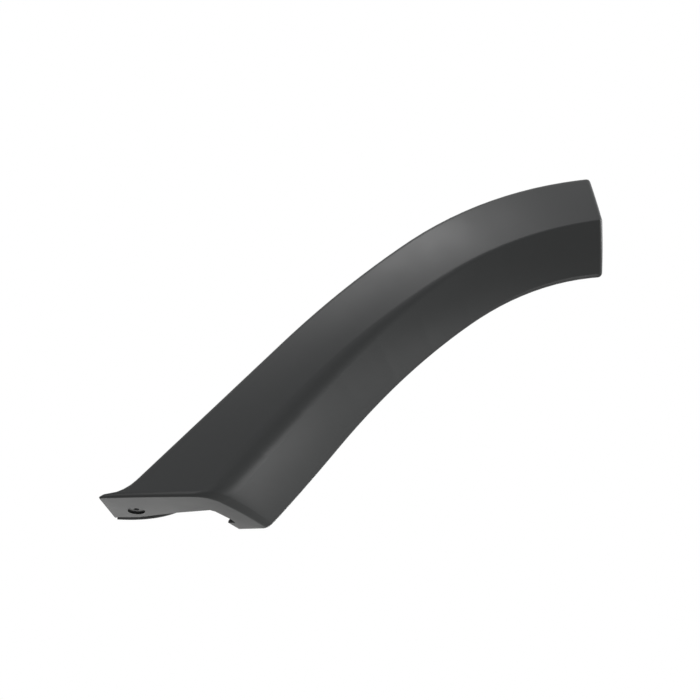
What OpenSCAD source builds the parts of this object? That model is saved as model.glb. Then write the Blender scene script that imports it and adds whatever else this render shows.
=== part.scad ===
// Wheel arch trim: a moulded strip that covers the edge of a wheel arch from the sill to near its top.
// The strip is one moulding. Its skin has an upper band beside the body panel and a lower band that
// turns in to the wheel. A crease parts them, sharp at the top end and a soft roll at the foot.
// Frame: the origin is the centre of the screw hole in the foot, where the screw's head seats. +X runs
// along the car, -Y points out of the car and +Z is up.

/* [Foot] */
// Distance from the screw hole to the tip, along the car
tip_reach = 35.7; // [32:0.1:40]
// Length of the foot from the tip to the wheel-side corner
foot_len = 179; // [166:0.5:190]
// Distance from the screw hole to the outer skin
skin_y = 40; // [36:1:46]
// Depth of the foot at the tip
tip_depth = 63; // [58:1:70]
// Depth of the foot at its waist, below the roll
waist_depth = 40; // [32:1:46]
// Distance from the wheel-side corner to the waist
waist_from_wheel = 62; // [54:1:70]
// Lean of the foot's lower face, in degrees
foot_lean = 3; // [0:0.5:5]
// Hole for the fixing screw
screw_d = 6; // [4:0.5:7]
// Recess for the head of the screw
head_d = 19; // [14:0.5:21]
// Depth of that recess
head_depth = 2; // [1:0.25:3]
// Radius of the foot's lower edge, and thickness of the foot
foot_r = 4; // [3:0.2:4.6]
// Bow of the bead behind the foot
bead_bow = 8.3; // [6:0.1:10]
// Thickness of that bead
bead_d = 5; // [4:0.2:6]

/* [Wheel-side edge] */
// Slope of the straight leg above the foot, in degrees
wheel_leg_slope = 48.6; // [46:0.1:51]
// Length of that leg
wheel_leg = 120.2; // [105:0.1:135]
// Radius of the edge half-way up
wheel_r2 = 668; // [600:4:740]
// Angle that this arc turns through
wheel_turn2 = 18.1; // [16:0.1:20]
// Radius of the edge round the top of the wheel
wheel_r1 = 325; // [290:5:360]
// Angle that this arc turns through
wheel_turn1 = 28; // [25:0.1:30]
// Distance of this edge behind the screw hole, at the foot
wheel_foot_y = 60; // [54:0.5:64]
// Distance of this edge in front of the screw hole, at the top end
wheel_top_y = 20; // [10:1:28]
// Width of the return behind this edge, at the foot
return_foot = 39; // [34:1:44]
// Width of that return at the top end
return_top = 18; // [16:1:24]
// Length of the hook on the return, at the foot
hook_foot = 24; // [18:1:28]
// Length of the hook at the top end, where it lies flat
hook_top = 6; // [4:1:10]

/* [Body-side edge] */
// Radius that the tip sweeps up with
tip_r = 50.8; // [44:0.2:60]
// Slope of the tip's upper face, in degrees
tip_slope = 7.5; // [5:0.5:12]
// Length of the tip's flat
tip_flat = 6.4; // [3:0.2:10]
// Slope of the straight leg above the tip, in degrees
body_leg_slope = 46.7; // [44:0.1:49]
// Length of that leg
body_leg = 225.4; // [210:0.1:240]
// Radius of the edge half-way up
body_r2 = 1140; // [1000:10:1300]
// Angle that this arc turns through
body_turn2 = 9.6; // [8:0.1:11]
// Radius of the edge round the top of the arch
body_r1 = 433; // [400:1:460]
// Angle that this arc turns through
body_turn1 = 32.6; // [31:0.1:35]
// How far this edge moves out of the car from the foot to the top end
body_flare = 14; // [6:1:20]
// Depth of the return behind this edge
body_return = 14; // [10:1:18]

/* [Skin] */
// Wall thickness
wall = 3; // [2.4:0.1:3.6]
// Radius of the long outer edges and of the top end's edge
edge_r = 6; // [5:0.2:7]
// How far the crease stands proud of the body-side edge at the top end
crease_proud = 20; // [14:1:26]
// Place of the crease between the wheel side, 0, and the body side, 1, at the top end
crease_top = 0.42; // [0.36:0.01:0.48]
// Place of the roll between the wheel side and the body side, at the foot
crease_foot = 0.31; // [0.26:0.01:0.36]
// Radius of the crease at the top end
crease_r = 2.5; // [1.5:0.5:6]
// Radius of the roll at the foot
roll_r = 38; // [24:1:48]
// Fullness of the upper band
upper_bulge = 2; // [0.5:0.5:4]
// Fullness of the lower band
lower_bulge = 4; // [1:0.5:6]

/* [Back] */
// Number of clip towers, each between two ribs
clip_count = 4; // [2:1:5]
// Hole in a tower for its clip
clip_d = 8; // [6:0.5:9]
// Length of a tower along the strip
tower_len = 26; // [20:1:30]
// Width of a tower across the strip
tower_w = 18; // [15:1:22]
// Height of a tower above the skin's back
tower_h = 14; // [12:1:20]
// Wall of a tower
tower_wall = 2.2; // [1.8:0.1:2.8]
// Height of a rib
rib_h = 7; // [4:1:9]
// Thickness of a rib at the wheel side
rib_t = 1.8; // [1.4:0.1:2.4]
// Screw holes for the wheel liner in the wheel-side return
liner_hole_d = 6.5; // [5:0.5:8]
// Thickness of the bulb on the hook's edge
bulb_d = 4.8; // [4:0.2:6]
// Length of that bulb
bulb_len = 42; // [30:1:50]
// Diameter of the locating pegs
peg_d = 7; // [5:0.5:8]
// Height of the locating pegs above the skin's back
peg_h = 20; // [16:1:26]

/* [Hidden] */
nose_r = 4;
nose_slope = 80;
hook_r = 3.5;
return_lean = 1.5;
tip_drop = 0.2;
step = 0.5;
boss_rim = 3;
boss_h = 7;
bead_rise = 0.2;
gusset_t = 2;
gusset_h = 30;
gusset_first = 24;
gusset_gap = 20;
overlap = 1.5;
$fn = 64;
tip_x = -tip_reach;
corner_x = foot_len - tip_reach;
plastic = [0.23, 0.24, 0.24];
arc_steps = [4, 4, 6, 4, 4, 3];

function mix(a, b, t) = a + (b - a) * t;
function clamp(t) = max(0, min(1, t));
function ease(t) = t * t * (3 - 2 * t);
function unit(v) = v / norm(v);

// An edge is a run of legs, each [length, turn in degrees], that starts at [x, z, slope].
function arc(r, turn) = [r * abs(turn) * PI / 180, turn];
function leg_at(p, leg, s) =
    leg[1] == 0 ? [p[0] + cos(p[2]) * s, p[1] + sin(p[2]) * s, p[2]] :
    let (a = p[2], b = a + leg[1] * s / leg[0], r = leg[0] / leg[1] * 180 / PI)
    [p[0] + r * (sin(b) - sin(a)), p[1] - r * (cos(b) - cos(a)), b];
function edge_at(p, legs, s, i = 0) =
    i == len(legs) - 1 || s <= legs[i][0] ? leg_at(p, legs[i], s) :
    edge_at(leg_at(p, legs[i], legs[i][0]), legs, s - legs[i][0], i + 1);
function edge_len(legs, i = 0) = i == len(legs) ? 0 : legs[i][0] + edge_len(legs, i + 1);

wheel_start = [corner_x, 0, wheel_leg_slope];
wheel_legs = [[wheel_leg, 0], arc(wheel_r2, -wheel_turn2), arc(wheel_r1, -wheel_turn1)];
wheel_len = edge_len(wheel_legs);
function wheel_at(s) = edge_at(wheel_start, wheel_legs, s);
wheel_top_z = wheel_at(wheel_len)[1];

body_start = [tip_x, 0, nose_slope];
body_legs = [[tip_drop, 0], arc(nose_r, tip_slope - nose_slope), [tip_flat, 0],
    arc(tip_r, body_leg_slope - tip_slope), [body_leg, 0], arc(body_r2, -body_turn2),
    arc(body_r1, -body_turn1)];
body_len = edge_len(body_legs);
function body_at(s) = edge_at(body_start, body_legs, s);
body_top_z = body_at(body_len)[1];

// Distance along the body-side edge at which it reaches the height z
function body_reach(z, lo = 0, hi = body_len, n = 26) =
    n == 0 ? (lo + hi) / 2 : body_at((lo + hi) / 2)[1] < z ?
    body_reach(z, (lo + hi) / 2, hi, n - 1) : body_reach(z, lo, (lo + hi) / 2, n - 1);

// Outlines are drawn in the plane of a section, as [distance from the wheel-side edge, depth].
function inward(a, b) = let (d = unit(b - a)) [d[1], -d[0]];
function meet(v, n1, t1, n2, t2) = let (det = n1[0] * n2[1] - n1[1] * n2[0])
    abs(det) < 0.002 ? v + n1 * t1 :
    v + [t1 * n2[1] - t2 * n1[1], t2 * n1[0] - t1 * n2[0]] / det;
function inset(v, t) = let (m = len(v) - 1) [for (i = [0 : m])
    i == 0 ? v[0] + inward(v[0], v[1]) * t[0] :
    i == m ? v[m] + inward(v[m - 1], v[m]) * t[m - 1] :
    meet(v[i], inward(v[i - 1], v[i]), t[i - 1], inward(v[i], v[i + 1]), t[i])];
function half_turn(v, i) = acos(max(-1, min(1, unit(v[i] - v[i - 1]) * unit(v[i + 1] - v[i])))) / 2;
function round_corner(v, i, t, n) = let (a = v[i] + unit(v[i - 1] - v[i]) * t,
    b = v[i] + unit(v[i + 1] - v[i]) * t, h = half_turn(v, i))
    h < 0.2 ? [for (k = [0 : n]) mix(a, b, k / n)] :
    let (c = v[i] + unit(a + b - 2 * v[i]) * t / sin(h), p = a - c)
    [for (k = [0 : n]) let (q = -2 * h * k / n)
        c + [p[0] * cos(q) - p[1] * sin(q), p[0] * sin(q) + p[1] * cos(q)]];

// A corner with a radius below 0 is a full band: it takes what its neighbours leave.
function rounded(v, r) = let (m = len(v) - 1,
    t1 = [for (i = [0 : m]) i == 0 || i == m || r[i] < 0 ? 0 : r[i] * tan(half_turn(v, i))],
    t2 = [for (i = [0 : m]) i == 0 || i == m || r[i] >= 0 ? t1[i] :
        0.97 * min(norm(v[i] - v[i - 1]) - t1[i - 1], norm(v[i + 1] - v[i]) - t1[i + 1])])
    concat([v[0]], [for (i = [1 : m - 1]) each round_corner(v, i, t2[i], arc_steps[i - 1])], [v[m]]);

// Corners of the section at the place t, from 0 at the foot to 1 at the top end, w wide
function crease_y(t) = -skin_y - body_flare * t - crease_proud * t;
function crease_h(t, w) = w * mix(crease_foot, crease_top, t);
function corners(t, w, depth) = let (by = -skin_y - body_flare * t,
    wy = mix(wheel_foot_y, -wheel_top_y, ease(t)),
    b = [w, by], c = [crease_h(t, w), crease_y(t)], d = [0, wy],
    fade = ease(clamp((t - 0.1) / 0.6)), rw = mix(return_foot, return_top, fade), a = mix(64, 8, fade),
    e = [rw, wy + mix(return_lean, 1, fade)])
    [[w - 0.08 * depth, by + depth], b, (b + c) / 2 - inward(b, c) * upper_bulge, c,
    (c + d) / 2 - inward(c, d) * lower_bulge, d, e, e + mix(hook_foot, hook_top, fade) * [cos(a), -sin(a)]];
function corner_radii(t, cut) = [for (r = [0, edge_r, -1,
    crease_r + (roll_r - crease_r) * pow(1 - t, 1.8), -1, edge_r, hook_r, 0])
    r <= 0 ? r : max(0.5, r - cut)];

// A section: its frame in space, and the wall as it is cut there. A slanting cut shows a thicker wall.
function section(s) = let (t = s / wheel_len, p = wheel_at(s),
    q = body_at(body_reach(body_top_z * p[1] / wheel_top_z)),
    w = norm([q[0] - p[0], q[1] - p[1]]), x = [q[0] - p[0], 0, q[1] - p[1]] / w,
    lean = foot_lean * (1 - t), y = [0, cos(lean), -sin(lean)], n = cross(x, y))
    [[p[0], 0, p[1]], x, y, t, w,
    [for (a = [q[2], mix(q[2], p[2], 0.5), p[2]]) let (run = [cos(a), 0, sin(a)])
        [run * x, run * y, run * n]]];
function place(f, p) = f[0] + f[1] * p[0] + f[2] * p[1];
function wall_cut(f, v) = [for (i = [0 : len(v) - 2])
    let (d = unit(v[i + 1] - v[i]), g = f[5][i == 0 ? 0 : i < 4 ? 1 : 2])
    wall * min(7, sqrt(pow(g[2], 2) + pow(g[0] * d[1] - g[1] * d[0], 2)) / abs(g[2]))];
function line(a, b, n) = [for (i = [1 : n]) mix(a, b, i / n)];

// Inner edges: of the plain wall, of a rib, of the foot and of the end wall
function wall_inner(f, v, more) = let (t = wall_cut(f, v))
    rounded(inset(v, [for (i = [0 : len(t) - 1]) t[i] + (i > 0 && i < 5 ? more : 0)]),
        corner_radii(f[3], wall + more));
function end_wall_inner(f, v, u) = let (r = edge_r - wall, more = end_round(u - wall, r))
    rounded(inset(v, [for (t = wall_cut(f, v)) t + more]), corner_radii(f[3], wall + more));
function rib_share(i, n) = clamp(min((i - 3) / 4, (n - 9 - i) / 7));
function rib_inner(f, v) = let (a = wall_inner(f, v, 0), b = wall_inner(f, v, rib_h), n = len(a))
    [for (i = [0 : n - 1]) mix(a[i], b[i], rib_share(i, n))];
function foot_inner(w, lip) = let (y0 = tip_depth - skin_y,
    a = [w - 12, y0 - 5.5], m = [w - 35, y0 - 5], b = [w - 79, 6.5],
    c = [waist_from_wheel, waist_depth - skin_y],
    g = c + [-5, 4], d = [return_foot + 3.5, wheel_foot_y - 32], e = [return_foot, wheel_foot_y - 21.5])
    concat([a], line(a, m, 4), line(m, b, 6), line(b, c, 7), line(c, g, 2), line(g, d, 3), line(d, e, 5),
        line(e, mix(e, lip, 0.35), 5));
function end_inner(v, n) = let (a = v[0] - [wall, 0], b = v[len(v) - 1] + [wall, -0.4])
    [for (i = [0 : n - 1]) mix(a, b, i / (n - 1))];

// Stations along the wheel-side edge, each [distance, inset of the outline, kind of inner edge]. The kind
// is 0 for the plain wall, 1 for the foot, 2 for the end wall and 3 for a rib.
round_steps = [0, 22.5, 45, 67.5, 90];
foot_rise = sin(wheel_leg_slope);
end_clear = 30;
bay = (wheel_len - 2 * end_clear) / clip_count;
rib_count = 2 * clip_count;
function tower_s(i) = end_clear + (i + 0.5) * bay;
function rib_s(i) = end_clear + (i + 0.5) * bay / 2;
function rib_stations(i) = let (a = rib_t / 2, b = a + step / 2)
    [for (k = [[-b, 0], [-a, 3], [a, 3], [b, 0]]) [rib_s(i) + k[0], 0, k[1]]];
between = ceil(bay / 2 / 14);
function end_round(u, r) = u >= r ? 0 : r - sqrt(r * r - (r - u) * (r - u));
function gap_stations(a, b, n) = [for (k = [1 : n - 1]) [mix(a, b, k / n), 0, 0]];
function stations() = concat(
    [for (a = round_steps) [foot_r * (1 - cos(a)) / foot_rise, foot_r * (1 - sin(a)), 1]],
    [for (z = [foot_r + step, 6.5, 9.5, 13, 18, 24, 31]) [z / foot_rise, 0, 0]],
    [[(31 / foot_rise + rib_s(0)) / 2, 0, 0]],
    [for (i = [0 : rib_count - 1]) each concat(rib_stations(i),
        i < rib_count - 1 ? gap_stations(rib_s(i), rib_s(i + 1), between) : [])],
    gap_stations(rib_s(rib_count - 1), wheel_len, 4),
    [for (u = [edge_r, (edge_r + wall) / 2, wall + step / 5]) [wheel_len - u, end_round(u, edge_r), 0]],
    [for (u = [wall - step / 2, wall * 0.55, wall * 0.2, 0]) [wheel_len - u, end_round(u, edge_r), 2]]);

function loop(st) = let (f = section(st[0]), foot = st[2] == 1,
    v0 = corners(f[3], f[4], foot ? tip_depth - 3.5 : body_return),
    v = inset(v0, [for (i = [0 : len(v0) - 2]) st[1]]), outer = rounded(v, corner_radii(f[3], st[1])),
    inner = foot ? foot_inner(f[4], v[len(v) - 1]) : st[2] == 2 ? end_inner(v, len(outer)) :
        st[2] == 3 ? rib_inner(f, v0) :
        st[1] > 0 ? end_wall_inner(f, v0, wheel_len - st[0]) : wall_inner(f, v0, 0))
    [for (p = concat(outer, [for (i = [len(inner) - 1 : -1 : 0]) inner[i]])) place(f, p)];

module shell() {
    loops = [for (st = stations()) loop(st)];
    n = len(loops[0]);
    m = len(loops);
    half = n / 2;
    sides = [for (j = [0 : m - 2]) for (i = [0 : n - 1]) let (k = (i + 1) % n)
        each [[j * n + i, j * n + n + k, j * n + k], [j * n + i, j * n + n + i, j * n + n + k]]];
    caps = [for (i = [0 : half - 2]) let (a = i, b = i + 1, c = n - 2 - i, d = n - 1 - i, e = (m - 1) * n)
        each [[a, b, d], [b, c, d], [e + a, e + d, e + b], [e + b, e + d, e + c]]];
    polyhedron(points = [for (l = loops) each l], faces = concat(sides, caps), convexity = 12);
}

// The point at the share k between the outline's points i and j, with the directions along the strip,
// across it and into the back of the wall
function spot(s, i, j, k) = let (a = loop([s - 4, 0, 0]), b = loop([s + 4, 0, 0]), c = loop([s, 0, 0]),
    run = unit(mix(b[i], b[j], k) - mix(a[i], a[j], k)), n = unit(cross(run, c[j] - c[i])))
    [run, cross(n, run), n, mix(c[i], c[j], k)];
module on_wall(s, i, j, k) {
    f = spot(s, i, j, k);
    multmatrix([for (a = [0 : 2]) [for (c = f) c[a]]]) children();
}
BAND = [6, 8];
RETURN = [27, 28];
module on_band(s, k = 0.5) { on_wall(s, BAND[0], BAND[1], k) children(); }
module on_return(s) { on_wall(s, RETURN[0], RETURN[1], 0.6) children(); }

// A clip tower stands on the back of the upper band and is open towards the foot.
module tower() {
    translate([-tower_len / 2, -tower_w / 2, wall - overlap]) cube([tower_len, tower_w, tower_h + overlap]);
}
module tower_cuts() {
    translate([-tower_len / 2 - 1, tower_wall - tower_w / 2, wall + 0.3])
        cube([tower_len + 1 - tower_wall, tower_w - 2 * tower_wall, tower_h - 0.3 - tower_wall]);
    translate([0, 0, wall + tower_h / 2]) cylinder(h = tower_h, d = clip_d);
}

module peg() {
    translate([0, 0, wall - overlap]) cylinder(h = peg_h + overlap - peg_d / 2, d = peg_d);
    translate([0, 0, wall + peg_h - peg_d / 2]) cylinder(h = peg_d / 2, d1 = peg_d, d2 = peg_d / 2);
}

// Everything is drawn with the foot's lower face through the origin, and then set down on the head seat.
module on_foot() { rotate([-foot_lean, 0, 0]) children(); }
module seated() { on_foot() translate([0, 0, -head_depth]) rotate([foot_lean, 0, 0]) children(); }
module boss() { translate([0, 0, overlap]) cylinder(h = boss_h - overlap, d = head_d + 2 * boss_rim); }
module screw_cuts() {
    translate([0, 0, -1]) cylinder(h = head_depth + 1, d = head_d);
    translate([0, 0, -1]) cylinder(h = boss_h + 2, d = screw_d);
}

// A bead runs in a bow behind the foot's inner edge. A web above the foot carries it.
module bead() {
    a = [tip_x + 9, tip_depth - skin_y + 1.5];
    b = [tip_x + 78, 6.9];
    chord = norm(b - a);
    r = (chord * chord / 4 + bead_bow * bead_bow) / (2 * bead_bow);
    reach = asin(chord / 2 / r);
    translate([a[0], a[1], 0]) rotate([0, 0, atan2(b[1] - a[1], b[0] - a[0])])
        translate([chord / 2, bead_bow - r, 0]) {
            rotate([0, 0, 90 - reach]) rotate_extrude(angle = 2 * reach, $fn = 96)
                translate([r, bead_d / 2 + bead_rise]) circle(d = bead_d, $fn = 20);
            translate([0, 0, foot_r - overlap / 3]) linear_extrude(bead_d + bead_rise - foot_r)
                intersection() {
                    circle(r + bead_d / 5, $fn = 128);
                    translate([-chord / 2, r - bead_bow - 11]) square([chord, 2 * bead_bow + 2]);
                }
        }
}

// A bulb stiffens the edge of the hook, from the foot up.
function hook_end(s) = let (f = section(s), v = corners(f[3], f[4], body_return), m = len(v) - 1,
    d = unit(v[m] - v[m - 1])) place(f, v[m] - d * bulb_d * 0.4 + inward(v[m - 1], v[m]) * bulb_d * 0.4);
module bulb() {
    a = hook_end(bulb_d / 2 / foot_rise);
    b = hook_end(bulb_len);
    up = unit(b - a);
    translate(a) {
        sphere(d = bulb_d, $fn = 24);
        rotate([0, acos(up[2]), atan2(up[1], up[0])]) cylinder(h = norm(b - a), d = bulb_d, $fn = 24);
    }
}

module gusset(x) {
    translate([x - gusset_t / 2, 0, 0]) rotate([90, 0, 90]) linear_extrude(gusset_t)
        polygon([[wall - overlap / 3 - skin_y, overlap], [waist_depth - skin_y - 6, overlap],
            [wall - overlap / 3 - skin_y, gusset_h]]);
}

module arch_trim() {
    color(plastic) seated() difference() {
        union() {
            shell();
            bulb();
            on_foot() {
                boss();
                bead();
                for (i = [0 : 2]) gusset(gusset_first + i * gusset_gap);
            }
            for (i = [0 : clip_count - 1]) on_band(tower_s(i)) tower();
            for (s = [end_clear + bay, wheel_len - end_clear - bay]) on_band(s) peg();
        }
        on_foot() screw_cuts();
        for (i = [0 : clip_count - 1]) on_band(tower_s(i)) tower_cuts();
        for (i = [0 : clip_count - 1]) on_return(tower_s(i))
            translate([0, 0, -1]) cylinder(h = wall + 3, d = liner_hole_d);
    }
}

arch_trim();
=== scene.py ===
"""Wheel arch trim, one black plastic moulding, dressed and set in a small white studio."""

import math

import bmesh
import bpy
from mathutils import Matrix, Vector


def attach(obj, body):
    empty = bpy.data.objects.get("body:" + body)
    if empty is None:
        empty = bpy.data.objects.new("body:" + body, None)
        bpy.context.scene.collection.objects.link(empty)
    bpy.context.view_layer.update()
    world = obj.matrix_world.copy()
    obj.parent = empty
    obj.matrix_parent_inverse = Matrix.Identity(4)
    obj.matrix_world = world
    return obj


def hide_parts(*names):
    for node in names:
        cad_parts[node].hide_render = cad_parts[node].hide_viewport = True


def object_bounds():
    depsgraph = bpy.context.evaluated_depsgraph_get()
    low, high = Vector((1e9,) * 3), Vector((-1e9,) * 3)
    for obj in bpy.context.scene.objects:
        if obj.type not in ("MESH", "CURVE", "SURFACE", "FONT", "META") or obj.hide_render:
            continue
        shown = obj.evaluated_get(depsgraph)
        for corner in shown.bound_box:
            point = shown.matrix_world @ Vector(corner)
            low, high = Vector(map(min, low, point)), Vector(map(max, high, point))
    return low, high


bl_info = {
    "name": "Wheel Arch Trim",
    "version": (1, 0, 0),
    "blender": (4, 5, 0),
    "location": "View3D > Sidebar > Arch Trim",
    "description": "Dresses the moulded wheel arch trim and sets it in a studio",
    "category": "Object",
}

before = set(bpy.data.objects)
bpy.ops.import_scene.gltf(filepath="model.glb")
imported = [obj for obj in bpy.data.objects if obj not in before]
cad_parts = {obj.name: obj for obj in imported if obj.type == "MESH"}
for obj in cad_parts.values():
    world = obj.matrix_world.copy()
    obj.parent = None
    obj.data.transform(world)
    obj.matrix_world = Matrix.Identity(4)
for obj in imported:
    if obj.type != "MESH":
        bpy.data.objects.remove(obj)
CAD_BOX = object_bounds()
TRIM = "arch_trim"


# Small helpers


def linear(code):
    """Turns an sRGB hex colour into the linear colour that a shader takes."""
    parts = [int(code[i : i + 2], 16) / 255 for i in (1, 3, 5)]
    return [v / 12.92 if v <= 0.04045 else ((v + 0.055) / 1.055) ** 2.4 for v in parts] + [1.0]


def add_node(tree, kind, settings=None, **links):
    """Adds a node with its settings; each link names an input and gives a value or a socket."""
    made = tree.nodes.new(kind)
    for name, value in (settings or {}).items():
        setattr(made, name, value)
    for name, value in links.items():
        key = int(name[1:]) if name[0] == "_" and name[1:].isdigit() else name.replace("_", " ")
        socket = made.inputs[key]
        if isinstance(value, bpy.types.NodeSocket):
            tree.links.new(value, socket)
        else:
            socket.default_value = value
    return made


def new_material(name):
    made = bpy.data.materials.new(name)
    made.use_nodes = True
    made.node_tree.nodes.clear()
    return made, made.node_tree


def new_piece(name, mesh, material):
    """A finished piece: its place is in its mesh, and it rides on the trim's body."""
    mesh.materials.clear()
    mesh.materials.append(material)
    made = bpy.data.objects.new(name, mesh)
    bpy.context.scene.collection.objects.link(made)
    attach(made, "root")
    return made


# The camera, where the picture was taken from: a little right of square on, and from below
CAMERA_PLACE = (0.2741, -1.1165, -0.3881)
CAMERA_AZIMUTH = 2.0
CAMERA_ELEVATION = -27.5
SENSOR_WIDTH = 36.0

# Lamps: name, azimuth from the front and elevation in degrees, distance and width in metres, power in
# watts, and the point of the trim that the lamp is aimed at. Fitted to greys of the photograph,
# and then changed.
MIDDLE = (0.26, -0.02, 0.2)
LAMPS = (
    ("lamp_above", -15, 53, 1.6, 0.35, 6.7, MIDDLE),
    ("lamp_right", 83, 14, 1.6, 0.8, 24.5, MIDDLE),
    ("lamp_fill", -16, -36, 1.6, 0.8, 6.5, MIDDLE),
    ("lamp_side", 103, -30, 0.6, 0.24, 0.75, (0.10, -0.02, 0.0)),
    ("lamp_back", 180, -4, 1.6, 0.8, 9.0, MIDDLE),
    ("lamp_back_low", -147, -36, 1.6, 0.8, 4.0, MIDDLE),
)


# Corners of the moulding that lie nearer to each other than this become one
MERGE = 0.000002
# The pads' rays start at this Y, behind the whole trim, and are this long
BEHIND = 0.07
RAY_LENGTH = 0.2
PAD_SIDES = 24
# How much of the floor's own look gives way to an even pale tone
FLOOR_EVENNESS = 0.8
FLOOR_REACH = 15.0

# Rows of ejector pads behind the skin, between the ribs: name, count, and the row's line in X and Z
PAD_ROWS = (
    (
        "ejector_pads_lower",
        10,
        ((0.1226, 0.0649), (0.15, 0.095), (0.2, 0.148), (0.25, 0.192), (0.3, 0.23), (0.3465, 0.2595)),
    ),
    ("ejector_pads_top", 4, ((0.4316, 0.2943), (0.51, 0.31))),
)


# What a user would change


class TrimFinish(bpy.types.PropertyGroup):
    colour: bpy.props.StringProperty(
        name="Colour", description="sRGB hex colour of the black plastic", default="#1b1d1e"
    )
    roughness: bpy.props.FloatProperty(
        name="Roughness", description="Satin of the moulded face", default=0.42, min=0.1, max=0.9
    )
    grain: bpy.props.FloatProperty(
        name="Grain", description="Width of the moulded grain", default=0.0016, subtype="DISTANCE"
    )
    grain_depth: bpy.props.FloatProperty(
        name="Grain depth", description="Depth of the moulded grain", default=0.00002, subtype="DISTANCE"
    )
    crease_angle: bpy.props.FloatProperty(
        name="Crease angle",
        description="Edges that bend more than this stay sharp",
        default=math.radians(40),
        subtype="ANGLE",
    )
    pad_radius: bpy.props.FloatProperty(
        name="Ejector pad radius",
        description="Radius of the flat pads that the mould's pins push on",
        default=0.0045,
        subtype="DISTANCE",
    )
    pad_thickness: bpy.props.FloatProperty(
        name="Ejector pad thickness",
        description="Thickness of a pad, half of it sunk in the wall",
        default=0.002,
        subtype="DISTANCE",
    )


class TrimStudio(bpy.types.PropertyGroup):
    floor_drop: bpy.props.FloatProperty(
        name="Floor drop", description="Floor below the foot", default=0.8, subtype="DISTANCE"
    )
    floor_colour: bpy.props.StringProperty(
        name="Floor colour", description="sRGB hex colour of the floor", default="#dcdcda"
    )
    light: bpy.props.FloatProperty(
        name="Light", description="Share of the lamps' power", default=1.0, min=0.0
    )
    room: bpy.props.FloatProperty(
        name="Room light", description="Strength of the room's soft light", default=0.05, min=0.0
    )
    lens: bpy.props.FloatProperty(name="Lens", description="Focal length, mm", default=55.0, min=20.0)


# Materials


def moulded_polypropylene(finish):
    """Polypropylene, injection moulded in a spark-eroded tool: satin black, with a fine even grain
    that softens each reflection, and a slow unevenness of gloss where the melt cooled."""
    material, tree = new_material("Moulded polypropylene, satin black")
    place = add_node(tree, "ShaderNodeTexCoord").outputs["Object"]
    # The real grain is about 0.3 mm wide, too fine for the picture, so it is drawn coarser.
    grain = add_node(
        tree, "ShaderNodeTexNoise", Vector=place, Scale=1 / finish.grain, Detail=3.0, Roughness=0.6
    )
    cloud = add_node(tree, "ShaderNodeTexNoise", Vector=place, Scale=14.0, Detail=2.0)
    gloss = add_node(
        tree,
        "ShaderNodeMapRange",
        Value=cloud.outputs["Fac"],
        From_Min=0.3,
        From_Max=0.7,
        To_Min=finish.roughness - 0.025,
        To_Max=finish.roughness + 0.025,
    )
    bump = add_node(
        tree, "ShaderNodeBump", Height=grain.outputs["Fac"], Distance=finish.grain_depth, Strength=1.0
    )
    shader = add_node(
        tree,
        "ShaderNodeBsdfPrincipled",
        Base_Color=linear(finish.colour),
        Roughness=gloss.outputs["Result"],
        IOR=1.49,
        Normal=bump.outputs["Normal"],
    )
    add_node(tree, "ShaderNodeOutputMaterial", Surface=shader.outputs["BSDF"])
    return material


def trim_plastic(finish):
    """The one plastic that the moulding and its pads share."""
    return bpy.data.materials.get("Moulded polypropylene, satin black") or moulded_polypropylene(finish)


def seen(tree):
    """1 for the rays that show a background to the eye, straight or in a reflection, and else 0."""
    path = add_node(tree, "ShaderNodeLightPath").outputs
    add = {"operation": "ADD"}
    made = add_node(tree, "ShaderNodeMath", add, _0=path["Is Camera Ray"], _1=path["Is Glossy Ray"])
    made = add_node(tree, "ShaderNodeMath", add, _0=made.outputs[0], _1=path["Is Transmission Ray"])
    return made.outputs[0]


def painted_floor(code):
    """A matt painted board: even and pale to the eye, with a trace of the object's shadow."""
    material, tree = new_material("Matt painted board")
    board = add_node(tree, "ShaderNodeBsdfPrincipled", Base_Color=linear(code), Roughness=0.9)
    pale = add_node(tree, "ShaderNodeEmission", Color=linear(code), Strength=1.0)
    share = add_node(tree, "ShaderNodeMath", {"operation": "MULTIPLY"}, _0=seen(tree), _1=FLOOR_EVENNESS)
    mix = add_node(
        tree,
        "ShaderNodeMixShader",
        _0=share.outputs[0],
        _1=board.outputs["BSDF"],
        _2=pale.outputs["Emission"],
    )
    add_node(tree, "ShaderNodeOutputMaterial", Surface=mix.outputs["Shader"])
    return material


# Pieces


class ARCHTRIM_OT_moulding(bpy.types.Operator):
    """Makes the moulding with smooth faces and its plastic"""

    bl_idname = "arch_trim.moulding"
    bl_label = "Moulding"

    def execute(self, context):
        finish = context.scene.trim_finish
        solid = bpy.data.objects[TRIM]
        work = bmesh.new()
        work.from_mesh(solid.data)
        bmesh.ops.remove_doubles(work, verts=work.verts, dist=MERGE)
        for face in work.faces:
            face.smooth = True
        for edge in work.edges:
            bends = len(edge.link_faces) != 2 or edge.calc_face_angle(0) > finish.crease_angle
            edge.smooth = not bends
        mesh = bpy.data.meshes.new("moulding")
        work.to_mesh(mesh)
        work.free()
        carrier = bpy.data.objects.new("moulding_work", mesh)
        bpy.context.scene.collection.objects.link(carrier)
        even = carrier.modifiers.new("Even faces", "WEIGHTED_NORMAL")
        even.mode, even.weight, even.keep_sharp = "FACE_AREA", 50, True
        shaped = carrier.evaluated_get(bpy.context.evaluated_depsgraph_get())
        mesh = bpy.data.meshes.new_from_object(shaped)
        bpy.data.objects.remove(carrier)
        piece = new_piece("moulding", mesh, trim_plastic(finish))
        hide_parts(TRIM)
        return {"FINISHED"}


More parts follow.
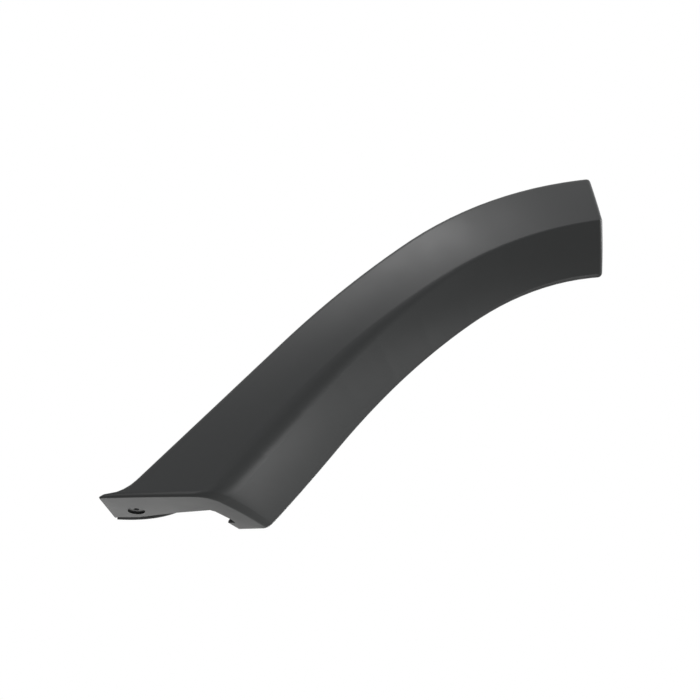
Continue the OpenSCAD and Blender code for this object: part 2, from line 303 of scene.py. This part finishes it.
class ARCHTRIM_OT_ejector_pads(bpy.types.Operator):
    """Sets the round flat pads for the mould's ejector pins on the hidden face of the skin"""

    bl_idname = "arch_trim.ejector_pads"
    bl_label = "Ejector Pads"

    def pad_tree(self, material):
        """A row of points is cast forward on to the wall, and a disc lies on it at each point."""
        tree = bpy.data.node_groups.new("Ejector pads", "GeometryNodeTree")
        for name, kind in (
            ("Row", "NodeSocketGeometry"),
            ("Wall", "NodeSocketObject"),
            ("Count", "NodeSocketInt"),
            ("Radius", "NodeSocketFloat"),
            ("Thickness", "NodeSocketFloat"),
        ):
            tree.interface.new_socket(name, in_out="INPUT", socket_type=kind)
        tree.interface.new_socket("Pads", in_out="OUTPUT", socket_type="NodeSocketGeometry")
        given = add_node(tree, "NodeGroupInput").outputs
        wall = add_node(tree, "GeometryNodeObjectInfo", Object=given["Wall"]).outputs["Geometry"]
        line = add_node(tree, "GeometryNodeMeshToCurve", Mesh=given["Row"]).outputs["Curve"]
        line = add_node(tree, "GeometryNodeResampleCurve", Curve=line, Count=given["Count"]).outputs["Curve"]
        # Each ray starts behind the whole trim and runs forward, so it meets the hidden face first.
        at = add_node(tree, "GeometryNodeInputPosition").outputs["Position"]
        at = add_node(tree, "ShaderNodeSeparateXYZ", Vector=at).outputs
        start = add_node(tree, "ShaderNodeCombineXYZ", X=at["X"], Y=BEHIND, Z=at["Z"]).outputs["Vector"]
        hit = add_node(
            tree,
            "GeometryNodeRaycast",
            Target_Geometry=wall,
            Source_Position=start,
            Ray_Direction=(0, -1, 0),
            Ray_Length=RAY_LENGTH,
        ).outputs
        line = add_node(tree, "GeometryNodeSetPosition", Geometry=line, Position=hit["Hit Position"])
        flat = add_node(
            tree, "FunctionNodeAlignRotationToVector", {"axis": "Z"}, Vector=hit["Hit Normal"]
        ).outputs["Rotation"]
        disc = add_node(
            tree,
            "GeometryNodeMeshCylinder",
            {"fill_type": "NGON"},
            Vertices=PAD_SIDES,
            Radius=given["Radius"],
            Depth=given["Thickness"],
        ).outputs["Mesh"]
        pads = add_node(
            tree,
            "GeometryNodeInstanceOnPoints",
            Points=line.outputs["Geometry"],
            Instance=disc,
            Rotation=flat,
        ).outputs["Instances"]
        pads = add_node(tree, "GeometryNodeRealizeInstances", Geometry=pads).outputs["Geometry"]
        pads = add_node(tree, "GeometryNodeSetMaterial", Geometry=pads, Material=material)
        add_node(tree, "NodeGroupOutput", Pads=pads.outputs["Geometry"])
        return tree

    def execute(self, context):
        finish = context.scene.trim_finish
        material = trim_plastic(finish)
        tree = self.pad_tree(material)
        for name, count, points in PAD_ROWS:
            mesh = bpy.data.meshes.new("row")
            row = [(x, BEHIND, z) for x, z in points]
            mesh.from_pydata(row, [(i, i + 1) for i in range(len(row) - 1)], [])
            carrier = bpy.data.objects.new("row", mesh)
            bpy.context.scene.collection.objects.link(carrier)
            made = carrier.modifiers.new("Ejector pads", "NODES")
            made.node_group = tree
            sizes = {
                "Wall": bpy.data.objects[TRIM],
                "Count": count,
                "Radius": finish.pad_radius,
                "Thickness": finish.pad_thickness,
            }
            for socket in tree.interface.items_tree:
                if socket.name in sizes:
                    made[socket.identifier] = sizes[socket.name]
            shaped = carrier.evaluated_get(bpy.context.evaluated_depsgraph_get())
            pads = bpy.data.meshes.new_from_object(shaped)
            carrier.modifiers.clear()
            bpy.data.objects.remove(carrier)
            if len(pads.polygons) != count * (PAD_SIDES + 2):
                raise RuntimeError(f"{name}: the pads didn't come out")
            new_piece(name, pads, material)
        return {"FINISHED"}


class ARCHTRIM_OT_stage(bpy.types.Operator):
    """Makes the floor, the lamps, the white surround and the camera"""

    bl_idname = "arch_trim.stage"
    bl_label = "Studio"

    def lamp(self, share, name, azimuth, elevation, distance, width, power, aim):
        """A square soft lamp in the given direction from the point it is aimed at."""
        data = bpy.data.lights.new(name, "AREA")
        data.shape, data.size, data.energy = "SQUARE", width, power * share
        made = bpy.data.objects.new(name, data)
        bpy.context.scene.collection.objects.link(made)
        a, e = math.radians(azimuth), math.radians(elevation)
        out = Vector((math.sin(a) * math.cos(e), -math.cos(a) * math.cos(e), math.sin(e)))
        made.location = Vector(aim) + out * distance
        made.rotation_euler = out.to_track_quat("Z", "Y").to_euler()
        return made

    def execute(self, context):
        studio = context.scene.trim_studio
        low, high = CAD_BOX
        middle = (low + high) / 2
        # The floor
        z = -studio.floor_drop
        mesh = bpy.data.meshes.new("floor")
        around = ((-1, -1), (1, -1), (1, 1), (-1, 1))
        corners = [(middle.x + x * FLOOR_REACH, y * FLOOR_REACH, z) for x, y in around]
        mesh.from_pydata(corners, [], [(0, 1, 2, 3)])
        mesh.materials.append(painted_floor(studio.floor_colour))
        floor = bpy.data.objects.new("floor", mesh)
        bpy.context.scene.collection.objects.link(floor)
        # The surround is white to the eye and a soft grey light to everything else.
        world = bpy.data.worlds.new("White surround")
        context.scene.world = world
        world.use_nodes = True
        tree = world.node_tree
        tree.nodes.clear()
        soft = add_node(tree, "ShaderNodeBackground", Color=linear("#ffffff"), Strength=studio.room)
        white = add_node(tree, "ShaderNodeBackground", Color=linear("#ffffff"), Strength=1.0)
        mix = add_node(
            tree,
            "ShaderNodeMixShader",
            _0=seen(tree),
            _1=soft.outputs["Background"],
            _2=white.outputs["Background"],
        )
        add_node(tree, "ShaderNodeOutputWorld", Surface=mix.outputs["Shader"])
        # Lamps
        for lamp in LAMPS:
            self.lamp(studio.light, *lamp)
        # The camera
        data = bpy.data.cameras.new("camera")
        data.lens = studio.lens
        data.sensor_width = SENSOR_WIDTH
        camera = bpy.data.objects.new("camera", data)
        context.scene.collection.objects.link(camera)
        a, e = math.radians(CAMERA_AZIMUTH), math.radians(CAMERA_ELEVATION)
        back = Vector((math.sin(a) * math.cos(e), -math.cos(a) * math.cos(e), math.sin(e)))
        camera.location = CAMERA_PLACE
        camera.rotation_euler = (-back).to_track_quat("-Z", "Y").to_euler()
        data.clip_start, data.clip_end = 0.01, 100.0
        context.scene.camera = camera
        context.scene.view_settings.view_transform = "Standard"
        return {"FINISHED"}


class ARCHTRIM_PT_panel(bpy.types.Panel):
    bl_idname = "ARCHTRIM_PT_panel"
    bl_label = "Arch Trim"
    bl_space_type = "VIEW_3D"
    bl_region_type = "UI"
    bl_category = "Arch Trim"

    def draw(self, context):
        for group in (context.scene.trim_finish, context.scene.trim_studio):
            box = self.layout.box()
            for name in group.__annotations__:
                box.prop(group, name)
        for step in STEPS:
            self.layout.operator(step.bl_idname)


STEPS = (ARCHTRIM_OT_moulding, ARCHTRIM_OT_ejector_pads, ARCHTRIM_OT_stage)
CLASSES = (TrimFinish, TrimStudio) + STEPS + (ARCHTRIM_PT_panel,)


def register():
    for made in CLASSES:
        bpy.utils.register_class(made)
    bpy.types.Scene.trim_finish = bpy.props.PointerProperty(type=TrimFinish)
    bpy.types.Scene.trim_studio = bpy.props.PointerProperty(type=TrimStudio)


def unregister():
    del bpy.types.Scene.trim_studio
    del bpy.types.Scene.trim_finish
    for made in reversed(CLASSES):
        bpy.utils.unregister_class(made)


def main():
    register()
    bpy.ops.arch_trim.moulding()
    bpy.ops.arch_trim.ejector_pads()
    bpy.ops.arch_trim.stage()


if __name__ == "__main__":
    main()
